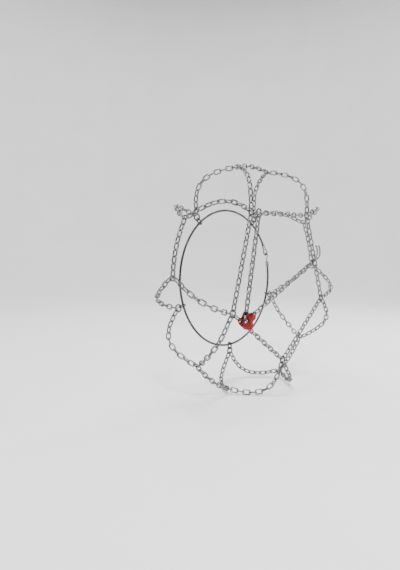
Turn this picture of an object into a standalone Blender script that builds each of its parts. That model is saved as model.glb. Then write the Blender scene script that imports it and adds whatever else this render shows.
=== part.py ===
"""Diamond-pattern snow chain for one car wheel, in the shape that the fitted tyre gives it.

Metres, +Z up. The origin is the wheel's centre, the axle lies along Y and the outer
face of the wheel looks toward -Y. Angles on the wheel run from +X toward +Z.
"""
import math

import bmesh
import bpy
from mathutils import Matrix, Vector

MM = 0.001

# The tyre that the chain is drawn over
TREAD_RADIUS = 316 * MM
TYRE_HALF_WIDTH = 91.5 * MM
WIDEST_RADIUS = 245 * MM
SHOULDER_POWER = 3.2

# The chain link and the play between pieces that touch
LINK_PITCH = 16.6 * MM
LINK_INSIDE = 7.6 * MM
WIRE = 4.2 * MM
BEARING = 4.4 * MM
TIP_SPREAD = 0.8
FREE_EDGE = 1.8 * MM
CLEARANCE = 0.3 * MM

# The net: five diamonds, with a run of links along the tread between each two
DIAMONDS = 5
SIDE_RADIUS = 224.6 * MM
SIDE_PHASE = math.radians(128)
RUN_ANGLE = math.radians(28)

# Joining rings, inner cable and its end fittings
RING_INSIDE = 8 * MM
RING_WIRE = 4.2 * MM
RING_SIDES = 12
CABLE = 6.5 * MM
LOOP_INSIDE = 8 * MM
LOOP_LENGTH = 16 * MM
CABLE_JOIN = math.radians(20)
CABLE_GAP = 46 * MM
CABLE_STEPS = 56
LOOP_SIDES = 12
SLEEVE_WALL = 2 * MM
SLEEVE_GRIP = 14 * MM
EYE_INSIDE = 7 * MM
EYE_AT = 11.8 * MM

# Lock between the second and third side rings, folded from one strip
LOCK_ALONG = 46 * MM
LOCK_LENGTH = 36 * MM
LOCK_TOP = 29 * MM
LOCK_FOLD_AT = -2 * MM
LOCK_PLATE = 3.5 * MM
LOCK_INSIDE = 17.5 * MM
LOCK_BRIDGE = 3.5 * MM
LOCK_SLOT = 7 * MM
LOCK_CORNER = 10 * MM
# What is cut out of its front leaf, which leaves an S, and out of its back leaf, in mm along and up
FRONT_CUTS = (((8, 11), (24, 33), (24, -1)), ((-4, 6.5), (-24, 10.5), (-24, -30)))
BACK_CUTS = (((5, 6), (24, 6), (24, 34), (5, 34)), ((-11, 6), (-24, 6), (-24, 34), (-11, 34)))
GRAB_ALONG = -3 * MM
GRAB_UP = 11 * MM
PIN = 8 * MM
PIN_HEAD = 12 * MM
PIN_HEAD_THICK = 2 * MM

# Free end of the tightening chain
TAIL_ROOT_LINKS = 2
TAIL_FAR_LINKS = 10
HOOK_WIRE = 4 * MM
HOOK_EYE = 26 * MM
PIVOT_DEPTH = 1.9 * MM
# Way of the hook's tips past the side chain, in mm along the tail, up the wheel face and outward
HOOK_ROUTE = ((9, 1, -0.5), (17, 5, -3), (23, 12, -5), (27, 22, -5), (28, 32, -4))

ZINC = ("zinc_steel", (0.58, 0.60, 0.62), 0.32, 1.0)
RED = ("red_coating", (0.62, 0.02, 0.02), 0.38, 0.0)
SHEATH = ("black_sheath", (0.03, 0.03, 0.03), 0.55, 0.0)
PLATED = ("plated_steel", (0.70, 0.70, 0.72), 0.25, 1.0)

# Wire radius of the unit torus that links and rings start from, and what counts as off its middle
TORUS_WIRE = 0.3
OFF_MIDDLE = 0.1

OUTWARD = Vector((0, -1, 0))
CHAIN_RADIUS = TREAD_RADIUS + LINK_INSIDE / 2 + WIRE / 2
PROFILE_WIDTH = TYRE_HALF_WIDTH + LINK_INSIDE / 2 + WIRE / 2
PROFILE_RISE = CHAIN_RADIUS - WIDEST_RADIUS
DIAMOND_STEP = 2 * math.pi / DIAMONDS
SIDE_PLANE = PROFILE_WIDTH * (1 - ((WIDEST_RADIUS - SIDE_RADIUS) / PROFILE_RISE) ** SHOULDER_POWER) ** (
    1 / SHOULDER_POWER)
RING_SEAT = RING_INSIDE * math.cos(math.pi / RING_SIDES) - CLEARANCE


def clear_scene():
    for obj in list(bpy.data.objects):
        bpy.data.objects.remove(obj, do_unlink=True)


def make_collection(name):
    group = bpy.data.collections.new(name)
    bpy.context.scene.collection.children.link(group)
    return group


def make_material(name, colour, roughness, metallic):
    material = bpy.data.materials.get(name) or bpy.data.materials.new(name)
    material.use_nodes = True
    shader = material.node_tree.nodes["Principled BSDF"]
    shader.inputs["Base Color"].default_value = (*colour, 1)
    shader.inputs["Roughness"].default_value = roughness
    shader.inputs["Metallic"].default_value = metallic
    return material


def place(mesh, name, finish, matrix=None, group=None):
    """Makes the named part from a mesh."""
    obj = bpy.data.objects.new(name, mesh)
    mesh.name = name
    mesh.materials.clear()
    mesh.materials.append(make_material(*finish))
    obj.matrix_world = matrix or Matrix()
    (group or PARTS).objects.link(obj)
    return obj


def frame_matrix(origin, along, up):
    """Axes with X along a direction and Z as near to up as it can be."""
    x_axis = along.normalized()
    y_axis = up.cross(x_axis).normalized()
    z_axis = x_axis.cross(y_axis)
    matrix = Matrix((x_axis, y_axis, z_axis)).transposed().to_4x4()
    matrix.translation = origin
    return matrix


def torus_mesh(around, across, turn=0):
    """A unit torus as a mesh, with its hole along Z."""
    bpy.ops.mesh.primitive_torus_add(
        major_segments=around, minor_segments=across, major_radius=1, minor_radius=TORUS_WIRE,
        rotation=(0, 0, turn))
    bpy.ops.object.transform_apply(location=False, rotation=True, scale=False)
    obj = bpy.context.object
    mesh = obj.data
    bpy.data.objects.remove(obj)
    return mesh


def link_mesh(pitch, free_start=True, free_end=True):
    """One oval link of the given inside length: a six-cornered torus drawn out along X.

    The wire is flat on its inner side, so that two links bear on each other square to square.
    A free end has a narrow inner edge instead, which can turn on what it holds.
    """
    mesh = torus_mesh(6, 3, math.radians(30))
    for vertex in mesh.vertices:
        outer = Vector(vertex.co[:2]).length > 1
        at_tip = abs(vertex.co.x) > OFF_MIDDLE
        half_long = pitch / 2 + (WIRE if outer else 0)
        half_wide = BEARING / 2 if at_tip else LINK_INSIDE / 2
        spread = TIP_SPREAD if at_tip else 1
        free = free_start if vertex.co.x < 0 else free_end
        half_thick = (FREE_EDGE if free else BEARING) / 2 if at_tip else BEARING / 2 - CLEARANCE
        vertex.co = (
            math.copysign(half_long, vertex.co.x) if at_tip else 0,
            math.copysign(half_wide + (WIRE * spread if outer else 0), vertex.co.y),
            0 if outer else math.copysign(half_thick, vertex.co.z))
    return mesh


def bearing_faces(faces, pitch):
    """The flat inside faces at the two ends of a link that still lies along X."""
    ends = []
    for side in (-1, 1):
        ends.append(min(faces, key=lambda face: (
            (face.calc_center_median() - Vector((side * pitch / 2, 0, 0))).length)))
    return ends


def add_chain(name, points, normals, pivot=None):
    """A run of links through its bearing points, the first upright, each turned a quarter on the last.

    Neighbours are joined where they bear on each other, so the run is one solid. A run that
    swings has its origin at the pivot.
    """
    pivot = pivot or Vector((0, 0, 0))
    last = len(points) - 2
    work = bmesh.new()
    last_face = None
    for index in range(len(points) - 1):
        start, end = points[index], points[index + 1]
        pitch = (end - start).length
        normal = (normals[index] + normals[index + 1]).normalized()
        up = normal.cross(end - start) if index % 2 == 0 else normal
        mesh = link_mesh(pitch, index == 0, index == last)
        before = set(work.faces)
        work.from_mesh(mesh)
        bpy.data.meshes.remove(mesh)
        fresh = [face for face in work.faces if face not in before]
        first_face, next_face = bearing_faces(fresh, pitch)
        corners = list({vertex for face in fresh for vertex in face.verts})
        seat = frame_matrix((start + end) / 2 - pivot, end - start, up)
        bmesh.ops.transform(work, matrix=seat, verts=corners)
        if last_face is not None:
            weld_bearing(work, last_face, first_face)
        last_face = next_face
    bmesh.ops.recalc_face_normals(work, faces=work.faces)
    mesh = bpy.data.meshes.new(name)
    work.to_mesh(mesh)
    work.free()
    return place(mesh, name, ZINC, Matrix.Translation(pivot))


def weld_bearing(work, face_a, face_b):
    """Joins two links at the squares where they bear on each other."""
    kept = list(face_a.verts)
    joined = {}
    for vertex in list(face_b.verts):
        near = min(kept, key=lambda other: (other.co - vertex.co).length)
        kept.remove(near)
        near.co = (near.co + vertex.co) / 2
        joined[vertex] = near
    bmesh.ops.delete(work, geom=[face_a, face_b], context="FACES_ONLY")
    bmesh.ops.weld_verts(work, targetmap=joined)


def straight(start, end, count):
    return [start.lerp(end, index / count) for index in range(count + 1)]


def odd_count(length):
    """The odd number of links that comes nearest to a length."""
    return max(1, 2 * round((length / LINK_PITCH - 1) / 2) + 1)


def add_link(name, start, end, up):
    mesh = link_mesh((end - start).length)
    return place(mesh, name, ZINC, frame_matrix((start + end) / 2, end - start, up))


def oval_mesh(inside, half_length, wire, sides=RING_SIDES):
    """A closed ring of wire with the given inside radius; a longer one has straight sides along X."""
    mesh = torus_mesh(sides, 4, math.pi / sides)
    for vertex in mesh.vertices:
        flat = Vector(vertex.co[:2])
        out = (flat.length - 1 + TORUS_WIRE) / (2 * TORUS_WIRE)
        flat = flat.normalized() * (inside + out * wire)
        height = math.copysign(wire / 2, vertex.co.z) if abs(vertex.co.z) > OFF_MIDDLE else 0
        vertex.co = (flat.x + math.copysign(half_length - inside, flat.x), flat.y, height)
    return mesh


def add_ring(name, centre, along):
    """A flat joining ring that lies against the tyre's side."""
    mesh = oval_mesh(RING_INSIDE, RING_INSIDE, RING_WIRE)
    return place(mesh, name, ZINC, frame_matrix(centre, along, OUTWARD))


def wheel_point(angle, radius, along_axle):
    return Vector((radius * math.cos(angle), along_axle, radius * math.sin(angle)))


def ring_angle(index):
    return SIDE_PHASE + index * DIAMOND_STEP


def side_point(angle, side):
    """Centre of a side ring; side is -1 on the outer face and 1 on the inner one."""
    return wheel_point(angle, SIDE_RADIUS, side * SIDE_PLANE)


def shoulder_point(turn):
    """A point of the chain's path across the tyre: axle offset and radius."""
    c, s = math.cos(turn), math.sin(turn)
    power = 2 / SHOULDER_POWER
    return (PROFILE_WIDTH * math.copysign(abs(s) ** power, s),
            WIDEST_RADIUS + PROFILE_RISE * math.copysign(abs(c) ** power, c))


def profile_points(steps=400):
    """The path from the tread's centre down to the side rings."""
    drop = ((WIDEST_RADIUS - SIDE_RADIUS) / PROFILE_RISE) ** (SHOULDER_POWER / 2)
    last = math.pi / 2 + math.asin(drop)
    return [shoulder_point(last * index / steps) for index in range(steps + 1)]


def leg_path(tread_angle, side_angle, side):
    """Bearing points and normals of one leg, from the tread link to its side ring."""
    profile = profile_points()
    lengths = [0]
    for (y_a, r_a), (y_b, r_b) in zip(profile, profile[1:]):
        lengths.append(lengths[-1] + math.hypot(y_b - y_a, r_b - r_a))
    begin = LINK_PITCH / 2
    path = []
    for (offset, radius), length in zip(profile, lengths):
        share = max(0, (length - begin) / (lengths[-1] - begin))
        angle = tread_angle + (side_angle - tread_angle) * share
        if length >= begin:
            path.append(wheel_point(angle, radius, side * offset))
    path = [wheel_point(tread_angle, CHAIN_RADIUS, side * begin)] + path
    ring = side_point(side_angle, side)
    path = [point for point in path if (point - ring).length > RING_SEAT]
    path.append(ring + (path[-1] - ring).normalized() * RING_SEAT)
    walked = [0]
    for a, b in zip(path, path[1:]):
        walked.append(walked[-1] + (b - a).length)
    count = odd_count(walked[-1])
    points = [point_along(path, walked, walked[-1] * index / count) for index in range(count + 1)]
    return points, [tyre_normal(point) for point in points]


def point_along(path, walked, distance):
    for index in range(len(path) - 1):
        if walked[index + 1] >= distance:
            step = walked[index + 1] - walked[index]
            return path[index].lerp(path[index + 1], (distance - walked[index]) / step)
    return path[-1].copy()


def tyre_normal(point):
    """Direction out of the tyre at a point of a chain that lies on it."""
    radius = math.hypot(point.x, point.z)
    rise = (radius - WIDEST_RADIUS) / PROFILE_RISE
    across = point.y / PROFILE_WIDTH
    radial = math.copysign(abs(rise) ** (SHOULDER_POWER - 1), rise) / PROFILE_RISE
    axial = math.copysign(abs(across) ** (SHOULDER_POWER - 1), across) / PROFILE_WIDTH
    return Vector((point.x / radius * radial, axial, point.z / radius * radial)).normalized()


def add_tread_net():
    """Runs along the tread, and cross chains that fork from their ends to both sides."""
    half_diamond = (DIAMOND_STEP - RUN_ANGLE) / 2
    taper = (LINK_INSIDE - BEARING) / LINK_PITCH
    bite = (LINK_INSIDE / 2 - taper * BEARING / 2 - CLEARANCE) / CHAIN_RADIUS
    for index in range(DIAMONDS):
        begin = ring_angle(index) + half_diamond
        first, last = begin + bite, begin + RUN_ANGLE - bite
        count = odd_count(CHAIN_RADIUS * (last - first))
        points = [wheel_point(first + (last - first) * step / count, CHAIN_RADIUS, 0)
                  for step in range(count + 1)]
        add_chain(f"tread_run_{index + 1}", points, [tyre_normal(point) for point in points])
        for end, (tread, side_angle) in enumerate((
                (begin, begin - half_diamond), (begin + RUN_ANGLE, begin + RUN_ANGLE + half_diamond))):
            outer, outer_normals = leg_path(tread, side_angle, -1)
            inner, inner_normals = leg_path(tread, side_angle, 1)
            add_chain(f"cross_chain_{2 * index + end + 1}",
                      outer[::-1] + inner, outer_normals[::-1] + inner_normals)


def add_side_rings():
    for index in range(DIAMONDS):
        for side, label in ((-1, "outer"), (1, "inner")):
            centre = side_point(ring_angle(index), side)
            radial = Vector((centre.x, 0, centre.z))
            add_ring(f"{label}_ring_{index + 1}", centre, radial)


def ring_to_ring(start, end):
    """Bearing points of a straight chain between two ring centres."""
    along = (end - start).normalized()
    first, last = start + along * RING_SEAT, end - along * RING_SEAT
    return straight(first, last, odd_count((last - first).length))


def add_face_chain(name, points, pivot=None):
    return add_chain(name, points, [OUTWARD] * len(points), pivot)


def add_side_chains():
    """Chords of the outer side, and the ring that gathers the tightening chain."""
    rings = [side_point(ring_angle(index), -1) for index in range(DIAMONDS)]
    add_face_chain("side_chain_1", ring_to_ring(rings[0], rings[1]))
    add_face_chain("side_chain_2", ring_to_ring(rings[2], rings[3]))
    add_face_chain("side_chain_3", ring_to_ring(rings[3], rings[4]))
    along = (rings[4] - rings[0]).normalized()
    gather = rings[0] + along * (2 * RING_SEAT + LINK_PITCH)
    add_ring("tension_ring", gather, along)
    add_face_chain("side_chain_4", ring_to_ring(rings[4], gather))
    add_face_chain("ring_link", ring_to_ring(rings[0], gather))
    return rings, gather


def make_mesh(curve, name):
    """A curve object turned into a closed mesh."""
    bpy.context.scene.collection.objects.link(curve)
    graph = bpy.context.evaluated_depsgraph_get()
    mesh = bpy.data.meshes.new_from_object(curve.evaluated_get(graph))
    mesh.name = name
    work = bmesh.new()
    work.from_mesh(mesh)
    bmesh.ops.remove_doubles(work, verts=work.verts, dist=0.00001)
    bmesh.ops.recalc_face_normals(work, faces=work.faces)
    work.to_mesh(mesh)
    work.free()
    bpy.data.objects.remove(curve)
    return mesh


def tube_mesh(name, points, thickness, resolution=1):
    """A bent wire through points."""
    data = bpy.data.curves.new(name, "CURVE")
    data.dimensions = "3D"
    data.bevel_depth = thickness / 2
    data.bevel_resolution = resolution
    data.use_fill_caps = True
    spline = data.splines.new("POLY")
    spline.points.add(len(points) - 1)
    for target, point in zip(spline.points, points):
        target.co = (*point, 1)
    return make_mesh(bpy.data.objects.new(name, data), name)


def plate_mesh(name, outline, thickness):
    """A flat outline in XY, extruded to a thickness about its own plane."""
    data = bpy.data.curves.new(name, "CURVE")
    data.dimensions = "2D"
    data.fill_mode = "BOTH"
    data.extrude = thickness / 2
    spline = data.splines.new("POLY")
    spline.points.add(len(outline) - 1)
    for target, point in zip(spline.points, outline):
        target.co = (point[0], point[1], 0, 1)
    spline.use_cyclic_u = True
    return make_mesh(bpy.data.objects.new(name, data), name)


def cut(obj, cutter, operation="DIFFERENCE"):
    cutter.display_type = "WIRE"
    cutter.hide_render = True
    modifier = obj.modifiers.new(cutter.name, "BOOLEAN")
    modifier.operation = operation
    modifier.solver = "EXACT"
    modifier.object = cutter


def box_cutter(name, size, matrix):
    bpy.ops.mesh.primitive_cube_add(size=1)
    mesh = bpy.context.object.data
    bpy.data.objects.remove(bpy.context.object)
    mesh.transform(Matrix.Diagonal((*size, 1)))
    return place(mesh, name, RED, matrix, CUTTERS)


def spool_mesh(name, profile, steps=16):
    """A solid turned about Z from a profile of radius and height."""
    work = bmesh.new()
    corners = [work.verts.new((radius, 0, height)) for radius, height in profile]
    edges = [work.edges.new(pair) for pair in zip(corners, corners[1:])]
    bmesh.ops.spin(work, geom=corners + edges, axis=(0, 0, 1), cent=(0, 0, 0), angle=2 * math.pi,
                   steps=steps, use_merge=True)
    bmesh.ops.remove_doubles(work, verts=work.verts, dist=0.000001)
    bmesh.ops.recalc_face_normals(work, faces=work.faces)
    mesh = bpy.data.meshes.new(name)
    work.to_mesh(mesh)
    work.free()
    return mesh


def lock_frame(rings):
    """X runs along the side chain through the lock, Y toward the axle, Z out of the wheel."""
    along = (rings[2] - rings[1]).normalized()
    return frame_matrix(rings[1] + along * LOCK_ALONG, along, OUTWARD)


def add_lock(rings):
    """A strip folded to a U, the pin across it, and what hangs in its two slots.

    A notch from each side leaves its front leaf the outline of an S.
    """
    frame = lock_frame(rings)
    middle = LOCK_INSIDE / 2 + LOCK_PLATE / 2
    inner, outer = LOCK_INSIDE / 2, LOCK_INSIDE / 2 + LOCK_PLATE
    bend = [math.pi * (0.5 + step / 10) for step in range(11)]
    outline = [(LOCK_TOP, outer)] + [
        (LOCK_FOLD_AT + outer * math.cos(turn), outer * math.sin(turn)) for turn in bend]
    outline += [(LOCK_TOP, -outer), (LOCK_TOP, -inner)]
    outline += [(LOCK_FOLD_AT + inner * math.cos(turn), inner * math.sin(turn)) for turn in reversed(bend)]
    outline += [(LOCK_TOP, inner)]
    strip = plate_mesh("lock_body", outline, LOCK_LENGTH)
    strip.transform(Matrix(((0, 0, 1, 0), (1, 0, 0, 0), (0, 1, 0, middle), (0, 0, 0, 1))))
    body = place(strip, "lock_body", RED, frame)
    half, low = LOCK_LENGTH / 2, LOCK_FOLD_AT - outer
    under, above = low - CLEARANCE, LOCK_TOP + CLEARANCE
    corners = [(-half, low + LOCK_CORNER), (-half + LOCK_CORNER, under),
               (half - LOCK_CORNER, under), (half, low + LOCK_CORNER),
               (half, LOCK_TOP - 2 * LOCK_CORNER), (half - LOCK_CORNER / 2, above),
               (-half + LOCK_CORNER, above), (-half, LOCK_TOP - 2 * LOCK_CORNER)]
    shape = place(plate_mesh("lock_outline", corners, 4 * outer), "lock_outline", RED,
                  frame @ Matrix.Translation((0, 0, middle)), CUTTERS)
    cut(body, shape, "INTERSECT")
    seat = half - LOCK_BRIDGE
    for side in (-1, 1):
        slot = box_cutter(f"slot_{side}", (LOCK_SLOT, 2 * BEARING, 4 * LOCK_PLATE),
                          frame @ Matrix.Translation((side * (seat - LOCK_SLOT / 2), 0, 0)))
        cut(body, slot)
    for leaf, cuts, offset in (("front", FRONT_CUTS, 2 * middle), ("back", BACK_CUTS, 0)):
        for index, corners in enumerate(cuts):
            name = f"{leaf}_cut_{index}"
            mesh = plate_mesh(name, [(x * MM, y * MM) for x, y in corners], LOCK_INSIDE)
            cut(body, place(mesh, name, RED, frame @ Matrix.Translation((0, 0, offset)), CUTTERS))
    pin_up = GRAB_UP + LINK_INSIDE / 2 + WIRE + CLEARANCE + PIN / 2
    pin_frame = frame @ Matrix.Translation((GRAB_ALONG, pin_up, middle))
    reach = outer + CLEARANCE
    hole = place(spool_mesh("pin_hole", [(0, -2 * outer), (PIN / 2 + CLEARANCE, -2 * outer),
                                         (PIN / 2 + CLEARANCE, 2 * outer), (0, 2 * outer)]),
                 "pin_hole", RED, pin_frame, CUTTERS)
    cut(body, hole)
    profile = [(0, -reach - PIN_HEAD_THICK), (PIN_HEAD / 2, -reach - PIN_HEAD_THICK), (PIN_HEAD / 2, -reach),
               (PIN / 2, -reach), (PIN / 2, reach), (PIN_HEAD / 2, reach),
               (PIN_HEAD / 2, reach + PIN_HEAD_THICK), (0, reach + PIN_HEAD_THICK)]
    place(spool_mesh("lock_pin", profile), "lock_pin", RED, pin_frame)
    along = frame.col[0].to_3d()
    left = frame @ Vector((-seat + CLEARANCE, 0, 0))
    right = frame @ Vector((seat - CLEARANCE, 0, 0))
    add_link("lock_link", rings[1] + along * RING_SEAT, left, along.cross(OUTWARD))
    last = rings[2] - along * RING_SEAT
    add_face_chain("side_chain_5", straight(right, last, odd_count((last - right).length)))
    return frame, middle


def add_tightening_chain(rings, gather, frame, middle):
    """Down into the lock, round its pin, and across the wheel to the hook."""
    grab_left = frame @ Vector((GRAB_ALONG - LINK_PITCH / 2, GRAB_UP, middle))
    grab_right = frame @ Vector((GRAB_ALONG + LINK_PITCH / 2, GRAB_UP, middle))
    add_link("grab_link", grab_left, grab_right, OUTWARD)
    inset = frame.col[0].to_3d() * (BEARING / 2 + CLEARANCE)
    lift = frame.col[1].to_3d() * WIRE / 3
    down = (grab_left - gather).normalized()
    first = gather + down * RING_SEAT
    bottom = grab_left + inset + lift
    add_face_chain("tension_chain", straight(first, bottom, odd_count((bottom - first).length)))
    crossing = caught_link(rings[3], rings[4]) + OUTWARD * middle
    root = grab_right - inset + lift
    out = (crossing - root).normalized()
    root_end = root + out * LINK_PITCH * TAIL_ROOT_LINKS
    add_face_chain("tail_root", straight(root, root_end, TAIL_ROOT_LINKS))
    pivot_depth = out * PIVOT_DEPTH
    near_start = root_end - out * CLEARANCE
    span = (crossing - out * HOOK_EYE - near_start).length + CLEARANCE
    links = 2 * round(span / LINK_PITCH / 2)
    near_links = links - TAIL_FAR_LINKS
    near_end = near_start + out * span / links * near_links
    add_face_chain("tail_near", straight(near_start, near_end, near_links), root_end + pivot_depth)
    far_start = near_end - out * CLEARANCE
    far_end = far_start + out * span / links * TAIL_FAR_LINKS
    add_face_chain("tail_far", straight(far_start, far_end, TAIL_FAR_LINKS), near_end + pivot_depth)
    add_hook(frame_matrix(far_end + pivot_depth, out, OUTWARD), (crossing - far_end).length - PIVOT_DEPTH)


def caught_link(start, end):
    """Middle of the flat-lying link of a side chain that is nearest to the chain's middle."""
    points = ring_to_ring(start, end)
    upright = (len(points) // 2 - 1) % 2 == 0
    return (start + end) / 2 + (points[1] - points[0]) * int(upright)


def add_hook(frame, reach):
    """A wire bent double: its closed end holds the last link, its two tips reach round the side chain.

    X runs along the tail from the hook's pivot; reach is the way to the side chain.
    """
    inside = BEARING / 2 + CLEARANCE
    half = inside + HOOK_WIRE / 2
    centre = math.sqrt(inside ** 2 - (FREE_EDGE / 2) ** 2) - PIVOT_DEPTH - CLEARANCE
    leg = [Vector((centre, 0, 0)), Vector((reach, 0, 0))]
    leg += [Vector((reach + x * MM, y * MM, z * MM)) for x, y, z in HOOK_ROUTE]
    upper = [point + Vector((0, 0, half)) for point in leg]
    lower = [point - Vector((0, 0, half)) for point in leg]
    bend = [Vector((centre - half * math.cos(turn), 0, half * math.sin(turn)))
            for turn in (math.pi * (0.5 - step / 6) for step in range(1, 6))]
    place(tube_mesh("tail_hook", upper[::-1] + bend + lower, HOOK_WIRE), "tail_hook", ZINC, frame)


def add_inner_cable():
    """A sheathed steel rope through a loop at each inner ring, closed by a hook and an eye."""
    loop_seat = SIDE_RADIUS - RING_SEAT
    hoop = loop_seat - LOOP_LENGTH + CLEARANCE + CABLE / 2
    gap = 2 * math.asin(CABLE_GAP / 2 / hoop)
    first, turn = CABLE_JOIN + gap / 2, 2 * math.pi - gap
    points = [wheel_point(first + turn * step / CABLE_STEPS, hoop, SIDE_PLANE)
              for step in range(CABLE_STEPS + 1)]
    place(tube_mesh("inner_cable", points, CABLE), "inner_cable", SHEATH)
    for index in range(DIAMONDS):
        angle = ring_angle(index)
        radial = wheel_point(angle, 1, 0)
        centre = wheel_point(angle, loop_seat - LOOP_LENGTH / 2, SIDE_PLANE)
        mesh = oval_mesh(LOOP_INSIDE / 2, LOOP_LENGTH / 2, WIRE, LOOP_SIDES)
        place(mesh, f"cable_loop_{index + 1}", ZINC, frame_matrix(centre, radial, radial.cross(OUTWARD)))
    add_eye_end(frame_matrix(points[0], points[0] - points[1], OUTWARD))
    add_hook_end(frame_matrix(points[-1], points[-1] - points[-2], OUTWARD))


def sleeve_mesh(name):
    """The crimped cup over a cable end: its mouth looks along -X and the cable ends at the origin."""
    bore = CABLE / 2 + CLEARANCE
    outside = bore + SLEEVE_WALL
    profile = [(0, CLEARANCE), (bore, CLEARANCE), (bore, -SLEEVE_GRIP), (outside, -SLEEVE_GRIP),
               (outside, CLEARANCE + SLEEVE_WALL), (0, CLEARANCE + SLEEVE_WALL)]
    mesh = spool_mesh(name, profile, 12)
    mesh.transform(Matrix.Rotation(math.pi / 2, 4, "Y"))
    return mesh


def add_eye_end(frame):
    """Cable end with a flat eye."""
    body = place(sleeve_mesh("cable_eye_end"), "cable_eye_end", PLATED, frame)
    mesh = oval_mesh(EYE_INSIDE, EYE_INSIDE, WIRE, LOOP_SIDES)
    cut(body, place(mesh, "eye", PLATED, frame @ Matrix.Translation((EYE_AT, 0, 0)), CUTTERS), "UNION")


def add_hook_end(frame):
    """Cable end with a wire hook that goes through the eye and back."""
    body = place(sleeve_mesh("cable_hook_end"), "cable_hook_end", PLATED, frame)
    turn_at = CABLE_GAP - EYE_AT - EYE_INSIDE + WIRE / 2
    bend = WIRE + CLEARANCE
    nose = turn_at - 2 * bend
    route = [(CLEARANCE + SLEEVE_WALL / 2, 0), (turn_at - 4 * bend, 0), (turn_at - 3 * bend, bend * 0.6),
             (turn_at - 2 * bend, bend)]
    route += [(turn_at + WIRE / 2 + CLEARANCE - bend + bend * math.sin(math.pi * step / 8),
               bend * math.cos(math.pi * step / 8)) for step in range(9)]
    route += [(nose, -bend)]
    mesh = tube_mesh("hook", [(x, 0, z) for x, z in route], WIRE)
    cut(body, place(mesh, "hook", PLATED, frame, CUTTERS), "UNION")


clear_scene()
PARTS = make_collection("snow_chain")
CUTTERS = make_collection("cutters")
add_tread_net()
add_side_rings()
RINGS, GATHER = add_side_chains()
FRAME, MIDDLE = add_lock(RINGS)
add_tightening_chain(RINGS, GATHER, FRAME, MIDDLE)
add_inner_cable()
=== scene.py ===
import math

import bpy
from mathutils import Matrix, Vector


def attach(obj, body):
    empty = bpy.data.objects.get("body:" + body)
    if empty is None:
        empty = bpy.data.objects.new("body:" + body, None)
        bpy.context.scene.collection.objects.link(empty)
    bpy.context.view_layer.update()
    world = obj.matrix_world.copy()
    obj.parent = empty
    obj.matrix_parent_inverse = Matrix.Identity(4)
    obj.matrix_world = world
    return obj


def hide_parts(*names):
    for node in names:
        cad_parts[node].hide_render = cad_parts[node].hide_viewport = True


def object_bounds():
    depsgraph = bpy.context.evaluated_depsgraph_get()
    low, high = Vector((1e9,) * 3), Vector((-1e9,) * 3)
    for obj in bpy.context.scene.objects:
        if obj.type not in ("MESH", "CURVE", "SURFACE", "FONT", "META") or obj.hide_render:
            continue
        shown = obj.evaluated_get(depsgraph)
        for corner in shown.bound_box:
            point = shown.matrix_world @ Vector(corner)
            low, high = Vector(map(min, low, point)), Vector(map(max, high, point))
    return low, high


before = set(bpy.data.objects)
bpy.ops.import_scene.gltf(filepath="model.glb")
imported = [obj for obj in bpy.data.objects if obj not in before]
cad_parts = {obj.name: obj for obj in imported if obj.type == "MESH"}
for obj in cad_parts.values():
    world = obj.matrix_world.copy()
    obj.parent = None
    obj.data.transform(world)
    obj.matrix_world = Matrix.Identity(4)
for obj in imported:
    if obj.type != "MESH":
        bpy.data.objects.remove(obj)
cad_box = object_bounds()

# Chain link: 4.2 mm round steel wire bent to an oval, closed by a butt weld and zinc plated.
# The zinc is mottled, duller on the straight sides and rubbed bright on the bows, where the
# links bear on each other and on the road. Every run of chain is made of copies of this link.
LINK_PITCH = 0.0166
LINK_INSIDE = 0.0076
WIRE = 0.0042
LINK_CORNERS = 12
WIRE_SIDES = 5
ZINC_DULL = (0.03, 0.031, 0.035)
ZINC_PALE = (0.16, 0.16, 0.17)
ZINC_RUBBED = (0.52, 0.52, 0.52, 1)
RUBBING = 0.4
CLOUD_LOW = 0.3
CLOUD_HIGH = 0.7


def pick(piece, wanted):
    """Goes into edit mode with those vertices selected whose place passes the test."""
    bpy.ops.object.mode_set(mode="EDIT")
    bpy.ops.mesh.select_mode(type="VERT")
    bpy.ops.mesh.select_all(action="DESELECT")
    bpy.ops.object.mode_set(mode="OBJECT")
    for vertex in piece.data.vertices:
        vertex.select = wanted(vertex.co)
    bpy.ops.object.mode_set(mode="EDIT")


half_corner = math.pi / LINK_CORNERS
bpy.ops.object.select_all(action="DESELECT")
bpy.ops.mesh.primitive_torus_add(
    major_segments=LINK_CORNERS, minor_segments=WIRE_SIDES, rotation=(0, 0, half_corner),
    major_radius=LINK_INSIDE / 2 + WIRE / 2, minor_radius=WIRE / 2)
bpy.ops.object.transform_apply(location=False, rotation=True, scale=False)
bpy.ops.object.shade_smooth()
link = bpy.context.object
wire_flat = WIRE / 2 * math.cos(math.pi / WIRE_SIDES)
stretch = LINK_PITCH / 2 - (LINK_INSIDE / 2 + WIRE / 2 - wire_flat) * math.cos(half_corner)
for side in (-1, 1):
    pick(link, lambda place: place.x * side > 0)
    bpy.ops.transform.translate(value=(side * stretch, 0, 0))
    bpy.ops.object.mode_set(mode="OBJECT")
rubbed = link.data.attributes.new("rubbed", "FLOAT", "POINT")
for vertex in link.data.vertices:
    toward_bow = abs(vertex.co.x) / (LINK_PITCH / 4) - 1
    rubbed.data[vertex.index].value = min(1, max(0, toward_bow))


def new_finish(name, metallic):
    """A finish with a shader, and a node that gives the piece's own coordinates."""
    finish = bpy.data.materials.new(name)
    finish.use_nodes = True
    finish.node_tree.nodes.new("ShaderNodeTexCoord")
    surface(finish)["Metallic"].default_value = metallic
    return finish


def surface(finish):
    """The inputs of a finish's shader."""
    return finish.node_tree.nodes["Principled BSDF"].inputs


def place_in(finish):
    """Object coordinates, as a finish reads them."""
    return finish.node_tree.nodes["Texture Coordinate"].outputs["Object"]


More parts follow.
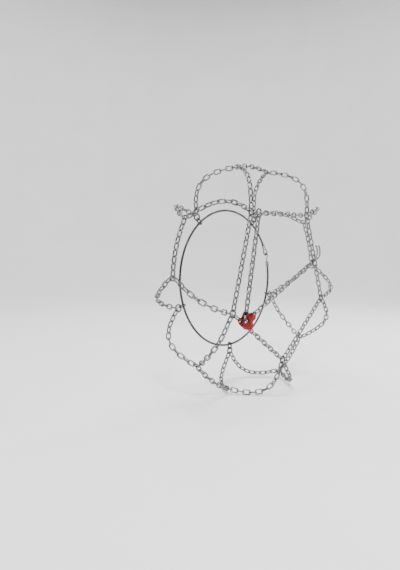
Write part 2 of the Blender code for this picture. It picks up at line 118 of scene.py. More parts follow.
def clouds(finish, scale, detail=4):
    """A cloudy pattern; the scale is in patches for each metre."""
    noise = finish.node_tree.nodes.new("ShaderNodeTexNoise")
    noise.inputs["Scale"].default_value = scale
    noise.inputs["Detail"].default_value = detail
    finish.node_tree.links.new(place_in(finish), noise.inputs["Vector"])
    return noise.outputs["Fac"]


def tones(finish, pattern, low, high, start=CLOUD_LOW, end=CLOUD_HIGH):
    """Colours from low to high, as a pattern goes from start to end."""
    ramp = finish.node_tree.nodes.new("ShaderNodeValToRGB")
    ramp.color_ramp.elements[0].position = start
    ramp.color_ramp.elements[0].color = (*low, 1)
    ramp.color_ramp.elements[1].position = end
    ramp.color_ramp.elements[1].color = (*high, 1)
    finish.node_tree.links.new(pattern, ramp.inputs["Fac"])
    return ramp.outputs["Color"]


def paint(finish, colour):
    """Gives a finish its colour."""
    finish.node_tree.links.new(colour, surface(finish)["Base Color"])


def vary_gloss(finish, scale, low, high):
    """Lets the roughness of a finish drift between two values."""
    spread = finish.node_tree.nodes.new("ShaderNodeMapRange")
    spread.inputs["From Min"].default_value = CLOUD_LOW
    spread.inputs["From Max"].default_value = CLOUD_HIGH
    spread.inputs["To Min"].default_value = low
    spread.inputs["To Max"].default_value = high
    finish.node_tree.links.new(clouds(finish, scale), spread.inputs["Value"])
    finish.node_tree.links.new(spread.outputs["Result"], surface(finish)["Roughness"])


def raise_surface(finish, pattern, strength, depth):
    """Raises a finish by a pattern, up to a depth."""
    bump = finish.node_tree.nodes.new("ShaderNodeBump")
    bump.inputs["Strength"].default_value = strength
    bump.inputs["Distance"].default_value = depth
    finish.node_tree.links.new(pattern, bump.inputs["Height"])
    finish.node_tree.links.new(bump.outputs["Normal"], surface(finish)["Normal"])


zinc = new_finish("zinc_plating", 1)
nodes, links = zinc.node_tree.nodes, zinc.node_tree.links
worn = nodes.new("ShaderNodeAttribute")
worn.attribute_name = "rubbed"
rub_amount = nodes.new("ShaderNodeMath")
rub_amount.operation = "MULTIPLY"
rub_amount.inputs[1].default_value = RUBBING
links.new(worn.outputs["Fac"], rub_amount.inputs[0])
brighten = nodes.new("ShaderNodeMix")
brighten.data_type = "RGBA"
brighten.inputs["B"].default_value = ZINC_RUBBED
links.new(rub_amount.outputs["Value"], brighten.inputs["Factor"])
links.new(tones(zinc, clouds(zinc, 160), ZINC_DULL, ZINC_PALE), brighten.inputs["A"])
paint(zinc, brighten.outputs["Result"])
vary_gloss(zinc, 420, 0.20, 0.36)
raise_surface(zinc, clouds(zinc, 900, 2), 0.15, 0.0003)


def placed(origin, along, up):
    """Axes at a place, with X along a direction and Z as near to up as it can be."""
    x_axis = along.normalized()
    y_axis = up.cross(x_axis).normalized()
    matrix = Matrix((x_axis, y_axis, x_axis.cross(y_axis))).transposed().to_4x4()
    matrix.translation = origin
    return matrix


def copy_to(pattern, matrix):
    """A copy with a mesh of its own, moved there in its mesh."""
    copy = pattern.copy()
    copy.data = pattern.data.copy()
    copy.data.transform(matrix)
    bpy.context.collection.objects.link(copy)
    return copy


def make_one(pieces):
    """Joins objects into the first of them."""
    bpy.ops.object.select_all(action="DESELECT")
    for piece in pieces:
        piece.select_set(True)
    bpy.context.view_layer.objects.active = pieces[0]
    if len(pieces) > 1:
        bpy.ops.object.join()
    return pieces[0]


def hand_over(piece, node, finish, body="net"):
    """Gives a piece its finish, and puts it in the place of a CAD node on its body."""
    piece.name = f"{node}_visual"
    piece.data.materials.clear()
    piece.data.materials.append(finish)
    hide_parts(node)
    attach(piece, body)


def lay_chain(node, points, normals, body="net"):
    """Lays links through the points where they bear on each other, each a quarter turn on."""
    laid = []
    for index, (start, end) in enumerate(zip(points, points[1:])):
        outward = (normals[index] + normals[index + 1]).normalized()
        up = outward.cross(end - start) if index % 2 == 0 else outward
        copy = copy_to(link, Matrix())
        spare = (end - start).length - LINK_PITCH
        for vertex in copy.data.vertices:
            vertex.co.x += math.copysign(spare / 2, vertex.co.x)
        copy.data.transform(placed((start + end) / 2, end - start, up))
        laid.append(copy)
    hand_over(make_one(laid), node, zinc, body)


def odd_count(length):
    """The odd number of links that comes nearest to a length."""
    return max(1, 2 * round((length / LINK_PITCH - 1) / 2) + 1)


# Tread runs: five runs of links round the middle of the net, between its diamonds. Their end
# links hang in the middle links of the cross chains.
DIAMONDS = 5
DIAMOND_STEP = 2 * math.pi / DIAMONDS
CHAIN_RADIUS = 0.3219
RING_PHASE = math.radians(128)
RUN_ANGLE = math.radians(28)
HALF_DIAMOND = (DIAMOND_STEP - RUN_ANGLE) / 2
BEARING = 0.0044
PLAY = 0.0003


def net_point(angle, radius, along_axis):
    """A place on the net; angles run from +X toward +Z."""
    return Vector((radius * math.cos(angle), along_axis, radius * math.sin(angle)))


run_starts = [RING_PHASE + index * DIAMOND_STEP + HALF_DIAMOND for index in range(DIAMONDS)]
bite = (LINK_INSIDE / 2 - (LINK_INSIDE - BEARING) / LINK_PITCH * BEARING / 2 - PLAY) / CHAIN_RADIUS
for index, start in enumerate(run_starts):
    first, last = start + bite, start + RUN_ANGLE - bite
    count = odd_count(CHAIN_RADIUS * (last - first))
    turns = [first + (last - first) * step / count for step in range(count + 1)]
    points = [net_point(turn, CHAIN_RADIUS, 0) for turn in turns]
    lay_chain(f"tread_run_{index + 1}", points, [point.normalized() for point in points])

# Cross chains: each crosses the middle of the net at the end of a run and goes over both of its
# shoulders to a ring on either side. They bend with the net's section, so each link lies flat.
WIDEST_RADIUS = 0.245
PROFILE_RISE = CHAIN_RADIUS - WIDEST_RADIUS
PROFILE_WIDTH = 0.0974
SHOULDER_POWER = 3.2
RING_CIRCLE = 0.2246
RING_DROP = (WIDEST_RADIUS - RING_CIRCLE) / PROFILE_RISE
SIDE_PLANE = PROFILE_WIDTH * (1 - RING_DROP ** SHOULDER_POWER) ** (1 / SHOULDER_POWER)
RING_INSIDE = 0.008
CAD_RING_SIDES = 12
RING_SEAT = RING_INSIDE * math.cos(math.pi / CAD_RING_SIDES) - PLAY
PROFILE_STEPS = 400


def shoulder_point(turn):
    """Offset along the axis and radius of a chain's way over the net's shoulder."""
    c, s = math.cos(turn), math.sin(turn)
    power = 2 / SHOULDER_POWER
    return (PROFILE_WIDTH * math.copysign(abs(s) ** power, s),
            WIDEST_RADIUS + PROFILE_RISE * math.copysign(abs(c) ** power, c))


def net_normal(point):
    """Direction out of the net at a chain."""
    radius = math.hypot(point.x, point.z)
    rise = (radius - WIDEST_RADIUS) / PROFILE_RISE
    across = point.y / PROFILE_WIDTH
    radial = math.copysign(abs(rise) ** (SHOULDER_POWER - 1), rise) / PROFILE_RISE
    axial = math.copysign(abs(across) ** (SHOULDER_POWER - 1), across) / PROFILE_WIDTH
    return Vector((point.x / radius * radial, axial, point.z / radius * radial)).normalized()


def leg_points(tread_angle, ring_angle, side):
    """Bearing points of one leg, from a run's end to a ring; side is -1 outside, 1 inside."""
    last = math.pi / 2 + math.asin(RING_DROP ** (SHOULDER_POWER / 2))
    profile = [shoulder_point(last * step / PROFILE_STEPS) for step in range(PROFILE_STEPS + 1)]
    lengths = [0]
    for (y_a, r_a), (y_b, r_b) in zip(profile, profile[1:]):
        lengths.append(lengths[-1] + math.hypot(y_b - y_a, r_b - r_a))
    begin = LINK_PITCH / 2
    path = [net_point(tread_angle, CHAIN_RADIUS, side * begin)]
    for (offset, radius), length in zip(profile, lengths):
        share = (length - begin) / (lengths[-1] - begin)
        if share >= 0:
            turn = tread_angle + (ring_angle - tread_angle) * share
            path.append(net_point(turn, radius, side * offset))
    ring = net_point(ring_angle, RING_CIRCLE, side * SIDE_PLANE)
    path = [point for point in path if (point - ring).length > RING_SEAT]
    path.append(ring + (path[-1] - ring).normalized() * RING_SEAT)
    walked = [0]
    for a, b in zip(path, path[1:]):
        walked.append(walked[-1] + (b - a).length)
    count = odd_count(walked[-1])
    points = [path[0]]
    for step in range(1, count):
        distance = walked[-1] * step / count
        index = next(index for index in range(len(path)) if walked[index + 1] >= distance)
        share = (distance - walked[index]) / (walked[index + 1] - walked[index])
        points.append(path[index].lerp(path[index + 1], share))
    return points + [path[-1]]


for index, start in enumerate(run_starts):
    for end, (tread_angle, ring_angle) in enumerate((
            (start, start - HALF_DIAMOND), (start + RUN_ANGLE, start + RUN_ANGLE + HALF_DIAMOND))):
        points = leg_points(tread_angle, ring_angle, -1)[::-1] + leg_points(tread_angle, ring_angle, 1)
        lay_chain(f"cross_chain_{2 * index + end + 1}", points, [net_normal(point) for point in points])

# Joining rings: closed rings of the same wire, each with a thicker weld on one side, that lie
# flat on the net's two sides. Each gathers two cross chains and, outside, the side chains.
OUTWARD = Vector((0, -1, 0))
RING_WIRE = 0.0042
WELD_HALF = RING_WIRE / 3
WELD_SWELL = 1.18
bpy.ops.object.select_all(action="DESELECT")
bpy.ops.mesh.primitive_torus_add(
    major_segments=28, minor_segments=8,
    major_radius=RING_INSIDE + RING_WIRE / 2, minor_radius=RING_WIRE / 2)
bpy.ops.object.shade_smooth()
ring = bpy.context.object
pick(ring, lambda place: place.y > 0 and abs(place.x) < WELD_HALF)
bpy.ops.transform.resize(value=(1, 1, WELD_SWELL))
bpy.ops.object.mode_set(mode="OBJECT")
ring_angles = [RING_PHASE + index * DIAMOND_STEP for index in range(DIAMONDS)]
outer_rings = [net_point(angle, RING_CIRCLE, -SIDE_PLANE) for angle in ring_angles]
for index, outer in enumerate(outer_rings):
    for label, side in (("outer", 1), ("inner", -1)):
        centre = Vector((outer.x, side * outer.y, outer.z))
        matrix = placed(centre, Vector((outer.x, 0, outer.z)), OUTWARD)
        hand_over(copy_to(ring, matrix), f"{label}_ring_{index + 1}", zinc)

# Side chains: straight chords of links from ring to ring on the net's outer side. One more ring
# near the first gathers the tightening chain, tied to its neighbour by a single link.


def lay_side(node, start, end, body="net"):
    """Lays an odd number of links in a straight line on the net's outer side."""
    count = odd_count((end - start).length)
    points = [start.lerp(end, step / count) for step in range(count + 1)]
    lay_chain(node, points, [OUTWARD] * len(points), body)


def lay_between_rings(node, start, end):
    """Lays a chain whose end links hang in two rings."""
    seat = (end - start).normalized() * RING_SEAT
    lay_side(node, start + seat, end - seat)


top_chord = (outer_rings[4] - outer_rings[0]).normalized()
gather = outer_rings[0] + top_chord * (2 * RING_SEAT + LINK_PITCH)
hand_over(copy_to(ring, placed(gather, top_chord, OUTWARD)), "tension_ring", zinc)
lay_between_rings("side_chain_1", outer_rings[0], outer_rings[1])
lay_between_rings("side_chain_2", outer_rings[2], outer_rings[3])
lay_between_rings("side_chain_3", outer_rings[3], outer_rings[4])
lay_between_rings("side_chain_4", outer_rings[4], gather)
lay_between_rings("ring_link", outer_rings[0], gather)
bpy.data.objects.remove(ring)

# Lock body: one strip of 3.5 mm steel folded to a U, its front leaf notched to an S with rounded
# corners, the edges broken, and dipped in red coating that is glossy and a little uneven.
LOCK_ALONG = 0.046
LOCK_LENGTH = 0.036
LOCK_BRIDGE = 0.0035
LOCK_MIDDLE = 0.0105
S_ROUNDING = 0.004
BROKEN_EDGE = 0.0008
ACROSS_SHEET = 0.99
MERGE = 0.00001
RED_DEEP = (0.12, 0.0002, 0.0002)
RED_CLEAR = (0.20, 0.0004, 0.0004)
lock_along = (outer_rings[2] - outer_rings[1]).normalized()
lock_frame = placed(outer_rings[1] + lock_along * LOCK_ALONG, lock_along, OUTWARD)
lock = copy_to(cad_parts["lock_body"], Matrix())
make_one([lock])
pick(lock, lambda place: True)
bpy.ops.mesh.remove_doubles(threshold=MERGE)
bpy.ops.mesh.dissolve_limited(angle_limit=math.radians(1))
bpy.ops.mesh.select_all(action="DESELECT")
bpy.ops.mesh.select_mode(type="EDGE")
bpy.ops.mesh.edges_select_sharp(sharpness=math.radians(30))
bpy.ops.object.mode_set(mode="OBJECT")
weights = lock.data.attributes.new("bevel_weight_edge", "FLOAT", "EDGE")
for edge in lock.data.edges:
    ends = [lock.data.vertices[corner].co for corner in edge.vertices]
    across = abs((ends[1] - ends[0]).normalized().dot(OUTWARD)) > ACROSS_SHEET
    on_front = (lock_frame.inverted() @ ((ends[0] + ends[1]) / 2)).z > LOCK_MIDDLE
    weights.data[edge.index].value = float(edge.select and across and on_front)
corners = lock.modifiers.new("rounded_corners", "BEVEL")
corners.width = S_ROUNDING
corners.segments = 4
corners.limit_method = "WEIGHT"
corners.use_clamp_overlap = False
bpy.ops.object.modifier_apply(modifier=corners.name)
edges = lock.modifiers.new("broken_edges", "BEVEL")
edges.width = BROKEN_EDGE
edges.segments = 2
edges.limit_method = "ANGLE"
edges.angle_limit = math.radians(40)
bpy.ops.object.modifier_apply(modifier=edges.name)
bpy.ops.object.shade_smooth_by_angle(angle=math.radians(35))
red = new_finish("red_dip_coating", 0)
paint(red, tones(red, clouds(red, 70), RED_DEEP, RED_CLEAR))
vary_gloss(red, 240, 0.24, 0.42)
surface(red)["Specular IOR Level"].default_value = 0.18
raise_surface(red, clouds(red, 600, 2), 0.12, 0.0004)
hand_over(lock, "lock_body", red)

# Lock pin: a turned steel pin through both leaves of the lock, its ends riveted over to low
# domed heads and coated red with it. The tightening chain turns round it.
PIN = 0.008
PIN_HEAD = 0.012
PIN_HEAD_THICK = 0.002
PIN_DOME = ((1, 0.5), (0.8, 0.8), (0.4, 1), (0, 1))
PIN_REACH = 0.01255
PIN_SIDES = 24
GRAB_ALONG = -0.003
GRAB_UP = 0.011


def turn_piece(steps, sides, matrix):
    """A turned piece along X: a disc drawn out through steps of place and radius, then closed."""
    bpy.ops.object.select_all(action="DESELECT")
    bpy.ops.mesh.primitive_circle_add(vertices=sides, radius=steps[0][1], fill_type="NGON")
    piece = bpy.context.object
    piece.data.transform(Matrix.Rotation(math.pi / 2, 4, "Y"))
    piece.data.transform(Matrix.Translation((steps[0][0], 0, 0)))
    bpy.ops.object.mode_set(mode="EDIT")
    bpy.ops.mesh.select_all(action="SELECT")
    for (x_a, r_a), (x_b, r_b) in zip(steps, steps[1:]):
        bpy.ops.mesh.extrude_region_move(TRANSFORM_OT_translate={"value": (x_b - x_a, 0, 0)})
        bpy.ops.transform.resize(value=(1, r_b / r_a, r_b / r_a), center_override=(x_b, 0, 0))
    bpy.ops.mesh.select_all(action="SELECT")
    bpy.ops.mesh.normals_make_consistent(inside=False)
    bpy.ops.object.mode_set(mode="OBJECT")
    piece.data.transform(matrix)
    bpy.ops.object.shade_smooth_by_angle(angle=math.radians(35))
    return piece


half_pin = [(PIN_REACH + PIN_HEAD_THICK * out, PIN_HEAD / 2 * wide) for out, wide in PIN_DOME]
half_pin += [(PIN_REACH, PIN / 2)]
pin_steps = [(-x, radius) for x, radius in half_pin] + half_pin[::-1]
pin_up = GRAB_UP + LINK_INSIDE / 2 + WIRE + PLAY + PIN / 2
pin_at = lock_frame @ Vector((GRAB_ALONG, pin_up, LOCK_MIDDLE))
pin = turn_piece(pin_steps, PIN_SIDES, placed(pin_at, OUTWARD, lock_along))
hand_over(pin, "lock_pin", red)

# Links at the lock: one long link ties the lock to its ring, and the last side chain goes from
# the lock's other slot to the next ring.
lock_seat = LOCK_LENGTH / 2 - LOCK_BRIDGE - PLAY
lock_left = lock_frame @ Vector((-lock_seat, 0, 0))
lock_right = lock_frame @ Vector((lock_seat, 0, 0))
lay_chain("lock_link", [outer_rings[1] + lock_along * RING_SEAT, lock_left], [OUTWARD] * 2)
lay_side("side_chain_5", lock_right, outer_rings[2] - lock_along * RING_SEAT)

# Tightening chain: down from its ring to the lock, where one link lies under the pin, then back
# across the net's open face. Its loose end lifts at the lock and folds at its middle.
ROOT_LINKS = 2
FAR_LINKS = 10
HOOK_EYE = 0.026
PIVOT_DEPTH = 0.0019
grab_left = lock_frame @ Vector((GRAB_ALONG - LINK_PITCH / 2, GRAB_UP, LOCK_MIDDLE))
grab_right = lock_frame @ Vector((GRAB_ALONG + LINK_PITCH / 2, GRAB_UP, LOCK_MIDDLE))
grab = copy_to(link, placed((grab_left + grab_right) / 2, lock_along, OUTWARD))
hand_over(grab, "grab_link", zinc)
toward_axis = lock_frame.col[1].to_3d()
inset = lock_along * (BEARING / 2 + PLAY)
lift = toward_axis * WIRE / 3
down = (grab_left - gather).normalized()
lay_side("tension_chain", gather + down * RING_SEAT, grab_left + inset + lift)
crossing = (outer_rings[3] + outer_rings[4]) / 2 + OUTWARD * LOCK_MIDDLE
root = grab_right - inset + lift
out = (crossing - root).normalized()


def lay_tail(node, start, pitch, count, body="net"):
    """Lays links along the loose end and returns the place where they stop."""
    points = [start + out * pitch * step for step in range(count + 1)]
    lay_chain(node, points, [OUTWARD] * len(points), body)
    return points[-1]


root_end = lay_tail("tail_root", root, LINK_PITCH, ROOT_LINKS)
near_start = root_end - out * PLAY
span = (crossing - out * HOOK_EYE - near_start).length + PLAY
tail_links = 2 * round(span / LINK_PITCH / 2)
near_end = lay_tail("tail_near", near_start, span / tail_links, tail_links - FAR_LINKS, "tail_start")
far_end = lay_tail("tail_far", near_end - out * PLAY, span / tail_links, FAR_LINKS, "tail_end")
bpy.data.objects.remove(link)

# Tail hook: one piece of 4 mm wire bent double. Its closed end holds the tail's last link, and
# its two free tips reach past the side chain and curl up round it. Zinc plated.
HOOK_WIRE = 0.004
HOOK_TIPS = ((0.009, 0.001, -0.0005), (0.017, 0.004, -0.003), (0.024, 0.010, -0.005),
             (0.027, 0.018, -0.005), (0.025, 0.026, -0.004), (0.021, 0.030, -0.004))
FREE_EDGE = 0.0018
BOW_SPREAD = 1.06
BOW_STEPS = 8


def bend_wire(points, thickness, matrix):
    """Round wire bent through points, its ends cut off square and deburred."""
    bpy.ops.object.select_all(action="DESELECT")
    bpy.ops.curve.primitive_nurbs_path_add()
    wire = bpy.context.object
    wire.data.splines.clear()
    spline = wire.data.splines.new("NURBS")
    spline.points.add(len(points) - 1)
    for target, point in zip(spline.points, points):
        target.co = (*point, 1)
    spline.use_endpoint_u = True
    spline.order_u = 3
    wire.data.resolution_u = 4
    wire.data.bevel_depth = thickness / 2
    wire.data.bevel_resolution = 3
    wire.data.use_fill_caps = True
    bpy.ops.object.convert(target="MESH")
    bpy.ops.object.mode_set(mode="EDIT")
    bpy.ops.mesh.select_all(action="SELECT")
    bpy.ops.mesh.remove_doubles(threshold=MERGE)
    bpy.ops.mesh.normals_make_consistent(inside=False)
    bpy.ops.mesh.select_mode(type="FACE")
    bpy.ops.mesh.select_all(action="DESELECT")
    bpy.ops.mesh.select_face_by_sides(number=4, type="GREATER")
    bpy.ops.mesh.inset(thickness=thickness / 5, depth=0)
    bpy.ops.object.mode_set(mode="OBJECT")
    wire.data.transform(matrix)
    bpy.ops.object.shade_smooth_by_angle(angle=math.radians(50))
    return wire


hook_frame = placed(far_end + out * PIVOT_DEPTH, out, OUTWARD)
hook_reach = (crossing - far_end).length - PIVOT_DEPTH
half_gap = BEARING / 2 + PLAY + HOOK_WIRE / 2
eye_at = math.sqrt((BEARING / 2 + PLAY) ** 2 - (FREE_EDGE / 2) ** 2) - PIVOT_DEPTH - PLAY
bow_radius = half_gap * BOW_SPREAD
leg = [Vector((x, 0, 0)) for x in (eye_at, hook_reach / 2, hook_reach)]
leg += [Vector((hook_reach + x, y, z)) for x, y, z in HOOK_TIPS]
bow = [Vector((eye_at - bow_radius * math.cos(turn), 0, bow_radius * math.sin(turn)))
       for turn in (math.pi * (0.5 - step / BOW_STEPS) for step in range(1, BOW_STEPS))]
route = [point + Vector((0, 0, half_gap)) for point in leg[::-1]] + bow
route += [point - Vector((0, 0, half_gap)) for point in leg]
hand_over(bend_wire(route, HOOK_WIRE, hook_frame), "tail_hook", zinc, "hook")

# Inner cable: 6.5 mm steel rope in a black plastic sheath that lets the lay of the strands show,
# an open hoop at the back of the net that runs through a welded loop at each inner ring.
CABLE = 0.0065
LOOP_INSIDE = 0.004
LOOP_LENGTH = 0.016
CABLE_JOIN = math.radians(20)
CABLE_GAP = 0.046
CABLE_STEPS = 168
CABLE_SIDES = 12
STRAND_LAY = 0.045
STRANDS = 6
WAVE_PERIOD = math.pi / 10
SHEATH_BLACK = (0.012, 0.012, 0.013)
SHEATH_GREY = (0.035, 0.035, 0.037)
loop_seat = RING_CIRCLE - RING_SEAT
hoop = loop_seat - LOOP_LENGTH + PLAY + CABLE / 2
gap_angle = 2 * math.asin(CABLE_GAP / 2 / hoop)
cable_start = CABLE_JOIN + gap_angle / 2
cable_turn = 2 * math.pi - gap_angle
bpy.ops.object.select_all(action="DESELECT")
bpy.ops.mesh.primitive_circle_add(
    vertices=CABLE_SIDES, radius=CABLE / 2, fill_type="NGON", location=(hoop, SIDE_PLANE, 0))
bpy.ops.object.transform_apply(location=True, rotation=False, scale=False)
cable = bpy.context.object
bpy.ops.object.mode_set(mode="EDIT")
bpy.ops.mesh.select_all(action="SELECT")
bpy.ops.mesh.spin(steps=CABLE_STEPS, angle=cable_turn, center=(0, 0, 0), axis=(0, 1, 0))
bpy.ops.mesh.select_all(action="SELECT")
bpy.ops.mesh.remove_doubles(threshold=MERGE)
bpy.ops.mesh.normals_make_consistent(inside=False)
bpy.ops.object.mode_set(mode="OBJECT")
bpy.ops.object.shade_smooth_by_angle(angle=math.radians(50))
lay_map = cable.data.uv_layers.new(name="strand_lay")
for face in cable.data.polygons:
    around = []
    for corner in face.loop_indices:
        place = cable.data.vertices[cable.data.loops[corner].vertex_index].co
        along = math.atan2(place.z, place.x) % (2 * math.pi) * hoop / STRAND_LAY
        turn = math.atan2(place.y - SIDE_PLANE, math.hypot(place.x, place.z) - hoop)
        around.append((corner, along, turn))
    for corner, along, turn in around:
        if turn < 0 and max(entry[2] for entry in around) - turn > math.pi:
            turn += 2 * math.pi
        lay_map.data[corner].uv = ((along + turn * STRANDS / (2 * math.pi)) * WAVE_PERIOD, turn)
cable.data.transform(Matrix.Rotation(-cable_start, 4, "Y"))
sheath = new_finish("black_cable_sheath", 0)
paint(sheath, tones(sheath, clouds(sheath, 120), SHEATH_BLACK, SHEATH_GREY))
vary_gloss(sheath, 300, 0.34, 0.52)
strand_map = sheath.node_tree.nodes.new("ShaderNodeUVMap")
strand_map.uv_map = "strand_lay"
strands = sheath.node_tree.nodes.new("ShaderNodeTexWave")
strands.inputs["Scale"].default_value = 1
sheath.node_tree.links.new(strand_map.outputs["UV"], strands.inputs["Vector"])
raise_surface(sheath, strands.outputs["Fac"], 0.6, 0.0006)
hand_over(cable, "inner_cable", sheath)

# Cable loops: small oval loops of the link wire, bent and welded, zinc plated. They stand upright
# and tie each inner ring to the cable.
LOOP_CORNERS = 20
bpy.ops.object.select_all(action="DESELECT")
bpy.ops.mesh.primitive_torus_add(
    major_segments=LOOP_CORNERS, minor_segments=8, rotation=(0, 0, math.pi / LOOP_CORNERS),
    major_radius=LOOP_INSIDE + WIRE / 2, minor_radius=WIRE / 2)
bpy.ops.object.transform_apply(location=False, rotation=True, scale=False)
bpy.ops.object.shade_smooth()
loop = bpy.context.object
for side in (-1, 1):
    pick(loop, lambda place: place.x * side > 0)
    bpy.ops.transform.translate(value=(side * (LOOP_LENGTH / 2 - LOOP_INSIDE), 0, 0))
    bpy.ops.object.mode_set(mode="OBJECT")
for index, angle in enumerate(ring_angles):
    radial = net_point(angle, 1, 0)
    centre = radial * (loop_seat - LOOP_LENGTH / 2) - OUTWARD * SIDE_PLANE
    copy = copy_to(loop, placed(centre, radial, radial.cross(OUTWARD)))
    hand_over(copy, f"cable_loop_{index + 1}", zinc)
bpy.data.objects.remove(loop)

# Cable ends: pressed steel cups, crimped on to the cable in two rings. One carries a closed eye
# and the other a wire hook that goes through it, so that the hoop closes at the net's back.
CAD_CABLE_STEPS = 56
CUP_WALL = 0.002
CUP = CABLE / 2 + PLAY + CUP_WALL
CUP_GRIP = 0.014
CUP_SIDES = 20
CUP_MOUTH = ((-CUP_GRIP, 0.9), (-CUP_GRIP + 0.0006, 1))
CUP_BOTTOM = ((0.0012, 1), (0.0020, 0.86), (0.0023, 0.5))
CRIMPS = (-0.0112, -0.0058)
CRIMP_SLOPE = 0.0008
CRIMP_FLAT = 0.0020
CRIMPED = 0.88
PLATING_DULL = (0.16, 0.165, 0.175)
PLATING_BRIGHT = (0.31, 0.31, 0.32)
HOOK_SWAY = 0.6
EYE_INSIDE = 0.007
EYE_AT = 0.0118
cup_outline = list(CUP_MOUTH)
for crimp in CRIMPS:
    bed = crimp + CRIMP_SLOPE
    bed_end = bed + CRIMP_FLAT
    cup_outline += [(crimp, 1), (bed, CRIMPED), (bed_end, CRIMPED), (bed_end + CRIMP_SLOPE, 1)]
cup_outline += CUP_BOTTOM
cup_steps = [(x, CUP * share) for x, share in cup_outline]
plated = new_finish("bright_plating", 1)
paint(plated, tones(plated, clouds(plated, 200), PLATING_DULL, PLATING_BRIGHT))
vary_gloss(plated, 700, 0.16, 0.30)
raise_surface(plated, clouds(plated, 1200, 2), 0.08, 0.0002)
step_angle = cable_turn / CAD_CABLE_STEPS
end_points = [net_point(cable_start + step_angle * step, hoop, SIDE_PLANE)
              for step in (0, 1, CAD_CABLE_STEPS - 1, CAD_CABLE_STEPS)]
eye_frame = placed(end_points[0], end_points[0] - end_points[1], OUTWARD)
cup = turn_piece(cup_steps, CUP_SIDES, eye_frame)
bpy.ops.object.select_all(action="DESELECT")
bpy.ops.mesh.primitive_torus_add(
    major_segments=28, minor_segments=10,
    major_radius=EYE_INSIDE + WIRE / 2, minor_radius=WIRE / 2)
bpy.ops.object.shade_smooth()
eye = bpy.context.object
eye.data.transform(Matrix.Translation((EYE_AT, 0, 0)))
eye.data.transform(eye_frame)
hand_over(make_one([cup, eye]), "cable_eye_end", plated)
hook_end = placed(end_points[3], end_points[3] - end_points[2], OUTWARD)
turn_at = CABLE_GAP - EYE_AT - EYE_INSIDE + WIRE / 2
bend = WIRE + PLAY
bow_at = turn_at + WIRE / 2 + PLAY - bend
route = [(0, 0), (turn_at - 4 * bend, 0), (turn_at - 3 * bend, bend * HOOK_SWAY)]
route += [(turn_at - 2 * bend, bend)]
for step in range(BOW_STEPS + 1):
    turn = math.pi * step / BOW_STEPS
    route += [(bow_at + bend * math.sin(turn), bend * math.cos(turn))]
route += [(turn_at - 2 * bend, -bend)]
catch = bend_wire([(x, 0, z) for x, z in route], WIRE, hook_end)
cup = turn_piece(cup_steps, CUP_SIDES, hook_end)
hand_over(make_one([cup, catch]), "cable_hook_end", plated)

# Floor: a wide pale matt sheet under the lowest links, swept up all round so that no horizon
# shows. The wall is pale where it stands behind the chain and dark cloth elsewhere, so that the
# round wire has dark edges.
AZIMUTH = math.radians(-46.18)
BEHIND = Vector((-math.sin(AZIMUTH), math.cos(AZIMUTH), 0))
PAPER_LOW = (0.84, 0.84, 0.85)
PAPER_HIGH = (0.88, 0.88, 0.88)
CLOTH_DARK = (0.05, 0.05, 0.055)
WHITE = (1, 1, 1)
BLACK = (0, 0, 0)
PALE_HEIGHT = 0.4
SWEEP = ((0, 3.0), (0.06, 3.5), (0.25, 3.95), (0.6, 4.25), (1.2, 4.4), (7.0, 4.4))
bpy.ops.object.select_all(action="DESELECT")
bpy.ops.mesh.primitive_circle_add(
    vertices=96, radius=SWEEP[0][1], fill_type="NGON", location=(0, 0, cad_box[0][2]))
floor = bpy.context.object
floor.name = "floor"
bpy.ops.object.mode_set(mode="EDIT")
bpy.ops.mesh.select_all(action="SELECT")
for (z_a, r_a), (z_b, r_b) in zip(SWEEP, SWEEP[1:]):
    bpy.ops.mesh.extrude_region_move(TRANSFORM_OT_translate={"value": (0, 0, z_b - z_a)})
    bpy.ops.transform.resize(value=(r_b / r_a, r_b / r_a, 1), center_override=(0, 0, 0))
bpy.ops.mesh.delete(type="FACE")
bpy.ops.mesh.select_all(action="SELECT")
bpy.ops.mesh.normals_make_consistent(inside=True)
bpy.ops.object.mode_set(mode="OBJECT")
bpy.ops.object.shade_smooth_by_angle(angle=math.radians(40))
paper = new_finish("pale_floor", 0)
nodes, links = paper.node_tree.nodes, paper.node_tree.links
facing = nodes.new("ShaderNodeVectorMath")
facing.operation = "DOT_PRODUCT"
facing.inputs[1].default_value = BEHIND / SWEEP[-1][1] / 2
links.new(place_in(paper), facing.inputs[0])
turned = nodes.new("ShaderNodeMath")
turned.inputs[1].default_value = 0.5
links.new(facing.outputs["Value"], turned.inputs[0])
wall_tone = tones(paper, turned.outputs["Value"], CLOTH_DARK, WHITE, 0.4, 0.94)
wall_tone.node.color_ramp.interpolation = "EASE"
height = nodes.new("ShaderNodeSeparateXYZ")
links.new(place_in(paper), height.inputs["Vector"])
shade = nodes.new("ShaderNodeMix")
shade.data_type = "RGBA"
links.new(tones(paper, height.outputs["Z"], WHITE, BLACK, 0, PALE_HEIGHT), shade.inputs["Factor"])
links.new(wall_tone, shade.inputs["A"])
shade.inputs["B"].default_value = (*WHITE, 1)
cloth = nodes.new("ShaderNodeMix")
cloth.data_type = "RGBA"
cloth.blend_type = "MULTIPLY"
cloth.inputs["Factor"].default_value = 1
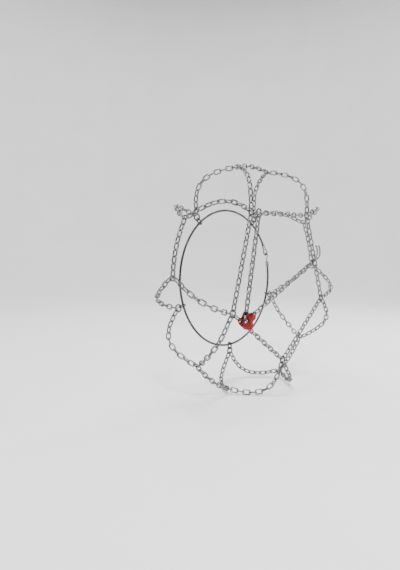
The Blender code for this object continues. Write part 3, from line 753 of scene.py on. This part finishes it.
links.new(tones(paper, clouds(paper, 3), PAPER_LOW, PAPER_HIGH), cloth.inputs["A"])
links.new(shade.outputs["Result"], cloth.inputs["B"])
paint(paper, cloth.outputs["Result"])
vary_gloss(paper, 20, 0.7, 0.85)
floor.data.materials.append(paper)

# Light: a large soft box over the sweep, a small bright key from the upper left for glints on
# the wire, one from the right for its edges, and a weak fill from the front.
surround = bpy.data.worlds.new("studio")
bpy.context.scene.world = surround
surround.use_nodes = True
surround.node_tree.nodes["Background"].inputs["Color"].default_value = (0.97, 0.98, 1, 1)
surround.node_tree.nodes["Background"].inputs["Strength"].default_value = 0.12


def soft_light(name, place, size, power):
    """A square area light that looks at the middle of the net."""
    lamp = bpy.data.lights.new(name, "AREA")
    lamp.size = size
    lamp.energy = power
    holder = bpy.data.objects.new(name, lamp)
    bpy.context.collection.objects.link(holder)
    holder.location = place
    holder.rotation_euler = (-Vector(place)).to_track_quat("-Z", "Y").to_euler()


soft_light("ceiling", (0.6, 0.6, 4.2), 3.0, 360)
soft_light("key", (-1.5, -1.7, 2.0), 0.5, 90)
soft_light("edge", (1.9, -0.6, 1.1), 0.5, 30)
soft_light("fill", (-0.3, -2.6, 0.7), 1.6, 4)

# Camera: a little above the middle of the net, forty-six degrees round from its outer side, so
# that the chain stands right of the middle of the picture.
ELEVATION = math.radians(3.15)
CAMERA_BACK = 1.3678
CAMERA_LEFT = 0.1567
CAMERA_DOWN = 0.0174
forward = BEHIND * math.cos(ELEVATION) - Vector((0, 0, math.sin(ELEVATION)))
right = forward.cross(Vector((0, 0, 1))).normalized()
above = right.cross(forward)
lens = bpy.data.cameras.new("camera")
lens.sensor_fit = "VERTICAL"
lens.sensor_height = 36
lens.lens = 29.63
camera = bpy.data.objects.new("camera", lens)
bpy.context.collection.objects.link(camera)
camera.matrix_world = Matrix((right, above, -forward)).transposed().to_4x4()
camera.location = -(forward * CAMERA_BACK + right * CAMERA_LEFT + above * CAMERA_DOWN)
bpy.context.scene.camera = camera
